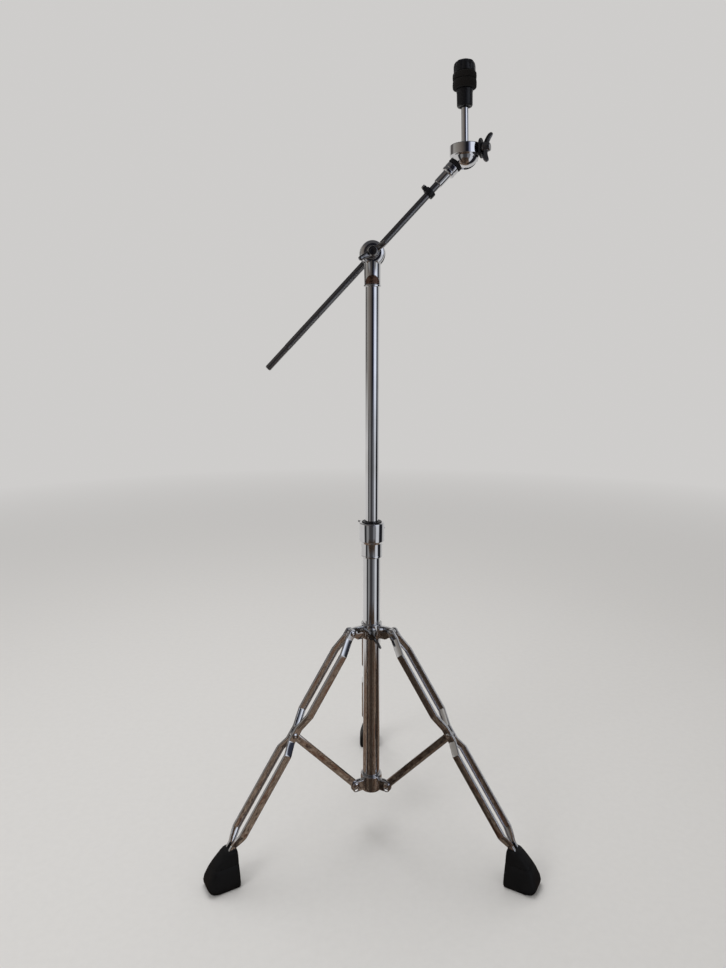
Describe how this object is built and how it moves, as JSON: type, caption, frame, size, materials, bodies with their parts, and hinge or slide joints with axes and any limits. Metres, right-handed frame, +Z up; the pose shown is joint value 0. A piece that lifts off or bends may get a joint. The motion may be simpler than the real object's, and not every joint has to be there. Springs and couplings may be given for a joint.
{
  "type": "cymbal boom stand",
  "caption": "Folding tripod stand with a telescoping tube and a tilting boom rod that carries a cymbal on a ball tilter between felts.",
  "frame": {"origin": "the middle of the space that the stand takes up on the floor, with the legs spread; the tube's axis is 59 mm in front of it, at y = -0.059155", "axes": "+Z up along the upright tube; +X to the side that the boom leans to; +Y along the rear leg; the front faces -Y"},
  "size_m": [0.4846, 0.4196, 1.1169],
  "materials": {
    "chrome": "polished chrome plate",
    "dark_chrome": "dark bright plate, knurled along part of the rod",
    "zinc_steel": "zinc plate",
    "black_rubber": "moulded",
    "black_nylon": "satin",
    "black_felt": "pressed felt"
  },
  "bodies": {
    "base": {"base_tube": "chrome", "tube_end_plug": "black_nylon", "bottom_collar": "chrome", "bottom_collar_pin": "zinc_steel", "height_clamp": "chrome"},
    "brace_1_body": {"brace_1": "chrome", "brace_leg_rivet_1": "chrome", "brace_pivot_rivet_1": "chrome"},
    "brace_2_body": {"brace_2": "chrome", "brace_leg_rivet_2": "chrome", "brace_pivot_rivet_2": "chrome"},
    "brace_3_body": {"brace_3": "chrome", "brace_leg_rivet_3": "chrome", "brace_pivot_rivet_3": "chrome"},
    "leg_1_body": {"leg_1_left_bar": "chrome", "leg_1_right_bar": "chrome", "leg_pivot_rivet_1": "chrome", "rubber_foot_1": "black_rubber", "foot_pin_1": "zinc_steel"},
    "leg_2_body": {"leg_2_left_bar": "chrome", "leg_2_right_bar": "chrome", "leg_pivot_rivet_2": "chrome", "rubber_foot_2": "black_rubber", "foot_pin_2": "zinc_steel"},
    "leg_3_body": {"leg_3_left_bar": "chrome", "leg_3_right_bar": "chrome", "leg_pivot_rivet_3": "chrome", "rubber_foot_3": "black_rubber", "foot_pin_3": "zinc_steel"},
    "leg_collar_body": {"leg_collar": "chrome"},
    "leg_collar_wing": {"leg_collar_wing_bolt": "chrome"},
    "height_wing": {"height_wing_bolt": "chrome"},
    "bushing": {"height_bushing": "black_nylon"},
    "upper_section": {"upper_tube": "chrome", "boom_receiver": "chrome", "tilter_spring": "zinc_steel", "tilter_washer": "zinc_steel"},
    "tilter": {"tilter_clamp": "chrome", "tilter_eye_bolt": "zinc_steel"},
    "tilter_wing": {"tilter_wing_nut": "dark_chrome"},
    "boom": {"boom_rod": "dark_chrome", "boom_stop_ring": "black_nylon", "stop_ring_screw": "zinc_steel"},
    "boom_end": {"boom_end_socket": "chrome", "boom_end_gasket": "black_rubber", "tilter_ball": "chrome"},
    "cymbal_head": {"cymbal_cup": "chrome", "ball_seat": "black_nylon", "cymbal_wing_washer": "black_nylon", "cymbal_rod": "chrome", "cymbal_sleeve": "black_nylon", "lower_felt": "black_felt"},
    "cymbal_wing": {"cymbal_wing_bolt": "chrome"},
    "felt_top": {"upper_felt": "black_felt"},
    "nut": {"cap_nut": "black_nylon"}
  },
  "joints": [
    {"name": "leg_collar_slide", "type": "slide", "parent": "base", "child": "leg_collar_body", "axis": [0, 0, 1], "range_m": [0, 0.06147]},
    {"name": "leg_1_fold", "type": "hinge", "parent": "leg_collar_body", "child": "leg_1_body", "pos_m": [0, -0.02336, 0.336], "axis": [-1, 0, 0], "range_deg": [0, 24.73]},
    {"name": "leg_2_fold", "type": "hinge", "parent": "leg_collar_body", "child": "leg_2_body", "pos_m": [-0.031, -0.07705, 0.336], "axis": [0.5, -0.866, 0], "range_deg": [0, 24.73]},
    {"name": "leg_3_fold", "type": "hinge", "parent": "leg_collar_body", "child": "leg_3_body", "pos_m": [0.031, -0.07705, 0.336], "axis": [0.5, 0.866, 0], "range_deg": [0, 24.73]},
    {"name": "brace_1_fold", "type": "hinge", "parent": "leg_1_body", "child": "brace_1_body", "pos_m": [0, 0.07135, 0.199], "axis": [1, 0, 0], "range_deg": [0, 52.73]},
    {"name": "brace_2_fold", "type": "hinge", "parent": "leg_2_body", "child": "brace_2_body", "pos_m": [-0.11302, -0.12441, 0.199], "axis": [-0.5, 0.866, 0], "range_deg": [0, 52.73]},
    {"name": "brace_3_fold", "type": "hinge", "parent": "leg_3_body", "child": "brace_3_body", "pos_m": [0.11302, -0.12441, 0.199], "axis": [-0.5, -0.866, 0], "range_deg": [0, 52.73]},
    {"name": "leg_collar_wing_spin", "type": "hinge", "parent": "leg_collar_body", "child": "leg_collar_wing", "pos_m": [0, -0.08045, 0.334], "axis": [0, -1, 0], "continuous": true},
    {"name": "height_wing_spin", "type": "hinge", "parent": "base", "child": "height_wing", "pos_m": [0, -0.03646, 0.486], "axis": [0, 1, 0], "continuous": true},
    {"name": "tube_swivel", "type": "hinge", "parent": "base", "child": "bushing", "pos_m": [0, -0.05915, 0.49], "axis": [0, 0, 1], "continuous": true},
    {"name": "tube_height", "type": "slide", "parent": "bushing", "child": "upper_section", "axis": [0, 0, 1], "range_m": [-0.25, 0.05]},
    {"name": "boom_tilt", "type": "hinge", "parent": "upper_section", "child": "tilter", "pos_m": [0, -0.05915, 0.8728], "axis": [0, 1, 0], "range_deg": [-23, 76]},
    {"name": "tilter_wing_spin", "type": "hinge", "parent": "tilter", "child": "tilter_wing", "pos_m": [0, -0.07255, 0.8728], "axis": [0, -1, 0], "continuous": true},
    {"name": "boom_extend", "type": "slide", "parent": "tilter", "child": "boom", "axis": [0.6921, 0, 0.7218], "range_m": [-0.085, 0.14]},
    {"name": "boom_roll", "type": "hinge", "parent": "boom", "child": "boom_end", "pos_m": [0.08783, -0.04215, 0.96439], "axis": [0.6921, 0, 0.7218], "continuous": true},
    {"name": "cymbal_tilt", "type": "hinge", "parent": "boom_end", "child": "cymbal_head", "pos_m": [0.12424, -0.04215, 1.00236], "axis": [0, 1, 0], "range_deg": [0, 85]},
    {"name": "cymbal_wing_spin", "type": "hinge", "parent": "cymbal_head", "child": "cymbal_wing", "pos_m": [0.14537, -0.05209, 1.0075], "axis": [0.9058, -0.4226, 0.0316], "continuous": true},
    {"name": "felt_lift", "type": "slide", "parent": "cymbal_head", "child": "felt_top", "axis": [-0.0349, 0, 0.9994], "range_m": [0, 0.01]},
    {"name": "cap_nut_spin", "type": "hinge", "parent": "felt_top", "child": "nut", "pos_m": [0.12047, -0.04215, 1.11029], "axis": [-0.0349, 0, 0.9994], "continuous": true}
  ],
  "couplings": [
    {"joint": "leg_1_fold", "follows": "leg_collar_slide", "rad_per_m": 7.0148},
    {"joint": "leg_2_fold", "follows": "leg_collar_slide", "rad_per_m": 7.0148},
    {"joint": "leg_3_fold", "follows": "leg_collar_slide", "rad_per_m": 7.0148},
    {"joint": "brace_1_fold", "follows": "leg_collar_slide", "rad_per_m": 14.965},
    {"joint": "brace_2_fold", "follows": "leg_collar_slide", "rad_per_m": 14.965},
    {"joint": "brace_3_fold", "follows": "leg_collar_slide", "rad_per_m": 14.965}
  ]
}
